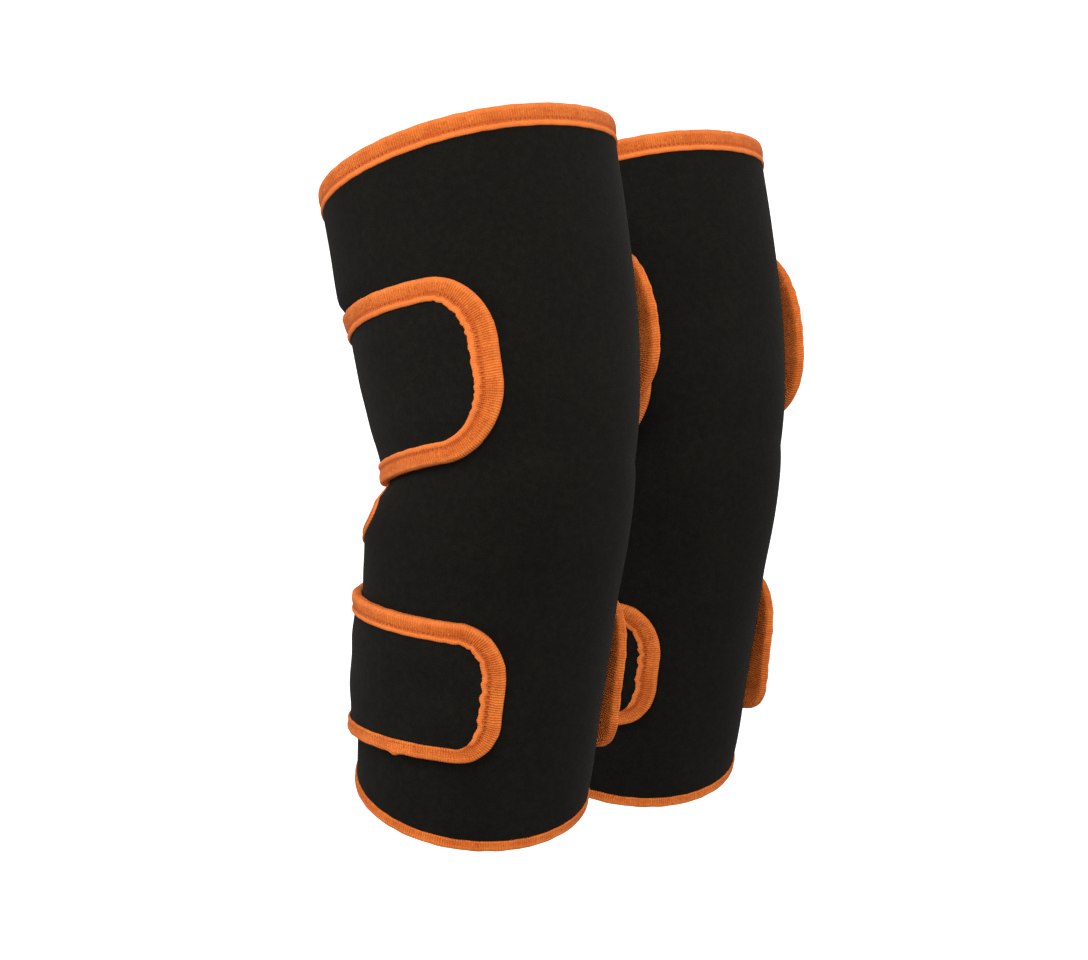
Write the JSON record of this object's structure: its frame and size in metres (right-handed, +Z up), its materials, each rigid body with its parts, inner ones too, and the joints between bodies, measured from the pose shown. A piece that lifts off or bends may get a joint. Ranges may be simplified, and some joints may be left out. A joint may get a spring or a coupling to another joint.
{
  "type": "pair of wrap knee pads",
  "caption": "Pair of soft bent knee sleeves in black cloth with orange bound edges, wide rounded strap tabs and an opening behind each knee.",
  "frame": {"origin": "knee centre of the right pad, where its thigh and calf axes meet", "axes": "+Z up along the standing leg, wearer faces -Y, +X toward the wearer's left pad"},
  "size_m": [0.3467, 0.2644, 0.3872],
  "materials": {
    "black_neoprene": "matte",
    "orange_tape": "matte",
    "hook_tape": "matte",
    "foam": "matte"
  },
  "bodies": {
    "right_calf": {"right_calf_shell": "black_neoprene", "right_bottom_binding": "orange_tape", "right_lower_back_band": "black_neoprene", "right_lower_back_band_binding": "orange_tape"},
    "right_thigh": {"right_thigh_shell": "black_neoprene", "right_knee_shell": "black_neoprene", "right_knee_cushion": "foam", "right_back_opening_binding": "orange_tape", "right_top_binding": "orange_tape", "right_upper_back_band": "black_neoprene", "right_upper_back_band_binding": "orange_tape"},
    "right_upper_outer_tab": {"right_upper_outer_tab": "black_neoprene", "right_upper_outer_tab_binding": "orange_tape", "right_upper_outer_tab_hook": "hook_tape"},
    "right_upper_inner_tab": {"right_upper_inner_tab": "black_neoprene", "right_upper_inner_tab_binding": "orange_tape", "right_upper_inner_tab_hook": "hook_tape"},
    "right_lower_outer_tab": {"right_lower_outer_tab": "black_neoprene", "right_lower_outer_tab_binding": "orange_tape", "right_lower_outer_tab_hook": "hook_tape"},
    "right_lower_inner_tab": {"right_lower_inner_tab": "black_neoprene", "right_lower_inner_tab_binding": "orange_tape", "right_lower_inner_tab_hook": "hook_tape"},
    "left_calf": {"left_calf_shell": "black_neoprene", "left_bottom_binding": "orange_tape", "left_lower_back_band": "black_neoprene", "left_lower_back_band_binding": "orange_tape"},
    "left_thigh": {"left_thigh_shell": "black_neoprene", "left_knee_shell": "black_neoprene", "left_knee_cushion": "foam", "left_back_opening_binding": "orange_tape", "left_top_binding": "orange_tape", "left_upper_back_band": "black_neoprene", "left_upper_back_band_binding": "orange_tape"},
    "left_upper_outer_tab": {"left_upper_outer_tab": "black_neoprene", "left_upper_outer_tab_binding": "orange_tape", "left_upper_outer_tab_hook": "hook_tape"},
    "left_upper_inner_tab": {"left_upper_inner_tab": "black_neoprene", "left_upper_inner_tab_binding": "orange_tape", "left_upper_inner_tab_hook": "hook_tape"},
    "left_lower_outer_tab": {"left_lower_outer_tab": "black_neoprene", "left_lower_outer_tab_binding": "orange_tape", "left_lower_outer_tab_hook": "hook_tape"},
    "left_lower_inner_tab": {"left_lower_inner_tab": "black_neoprene", "left_lower_inner_tab_binding": "orange_tape", "left_lower_inner_tab_hook": "hook_tape"}
  },
  "joints": [
    {"name": "pads_apart", "type": "slide", "parent": "right_calf", "child": "left_calf", "axis": [1, 0, 0], "range_m": [0, 0.2]},
    {"name": "right_knee_flex", "type": "hinge", "parent": "right_calf", "child": "right_thigh", "pos_m": [0, 0.002, -0.048], "axis": [-1, 0, 0], "range_deg": [-18, 35], "stiffness_Nm_per_rad": 2, "deforming": ["right_knee_shell", "right_knee_cushion", "right_back_opening_binding"]},
    {"name": "right_upper_outer_tab_peel", "type": "hinge", "parent": "right_thigh", "child": "right_upper_outer_tab", "pos_m": [-0.051, 0.06507, 0.01166], "axis": [0.0779, -0.3137, -0.9463], "range_deg": [0, 100]},
    {"name": "right_upper_inner_tab_peel", "type": "hinge", "parent": "right_thigh", "child": "right_upper_inner_tab", "pos_m": [0.05246, 0.07115, 0.03027], "axis": [0.0614, 0.2952, 0.9535], "range_deg": [0, 15]},
    {"name": "right_lower_outer_tab_peel", "type": "hinge", "parent": "right_calf", "child": "right_lower_outer_tab", "pos_m": [-0.04558, 0.07555, -0.11564], "axis": [0.0394, 0.1271, -0.9911], "range_deg": [0, 100]},
    {"name": "right_lower_inner_tab_peel", "type": "hinge", "parent": "right_calf", "child": "right_lower_inner_tab", "pos_m": [0.0458, 0.07485, -0.11018], "axis": [0.0372, -0.1298, 0.9909], "range_deg": [0, 15]},
    {"name": "left_knee_flex", "type": "hinge", "parent": "left_calf", "child": "left_thigh", "pos_m": [0.179, 0.086, -0.043], "axis": [-1, 0, 0], "range_deg": [-18, 35], "stiffness_Nm_per_rad": 2, "deforming": ["left_knee_shell", "left_knee_cushion", "left_back_opening_binding"]},
    {"name": "left_upper_outer_tab_peel", "type": "hinge", "parent": "left_thigh", "child": "left_upper_outer_tab", "pos_m": [0.128, 0.14907, 0.01666], "axis": [0.0779, -0.3137, -0.9463], "range_deg": [0, 15]},
    {"name": "left_upper_inner_tab_peel", "type": "hinge", "parent": "left_thigh", "child": "left_upper_inner_tab", "pos_m": [0.23145, 0.15515, 0.03527], "axis": [0.0614, 0.2952, 0.9535], "range_deg": [0, 100]},
    {"name": "left_lower_outer_tab_peel", "type": "hinge", "parent": "left_calf", "child": "left_lower_outer_tab", "pos_m": [0.13342, 0.15955, -0.11064], "axis": [0.0394, 0.1271, -0.9911], "range_deg": [0, 15]},
    {"name": "left_lower_inner_tab_peel", "type": "hinge", "parent": "left_calf", "child": "left_lower_inner_tab", "pos_m": [0.2248, 0.15885, -0.10518], "axis": [0.0372, -0.1298, 0.9909], "range_deg": [0, 100]}
  ]
}
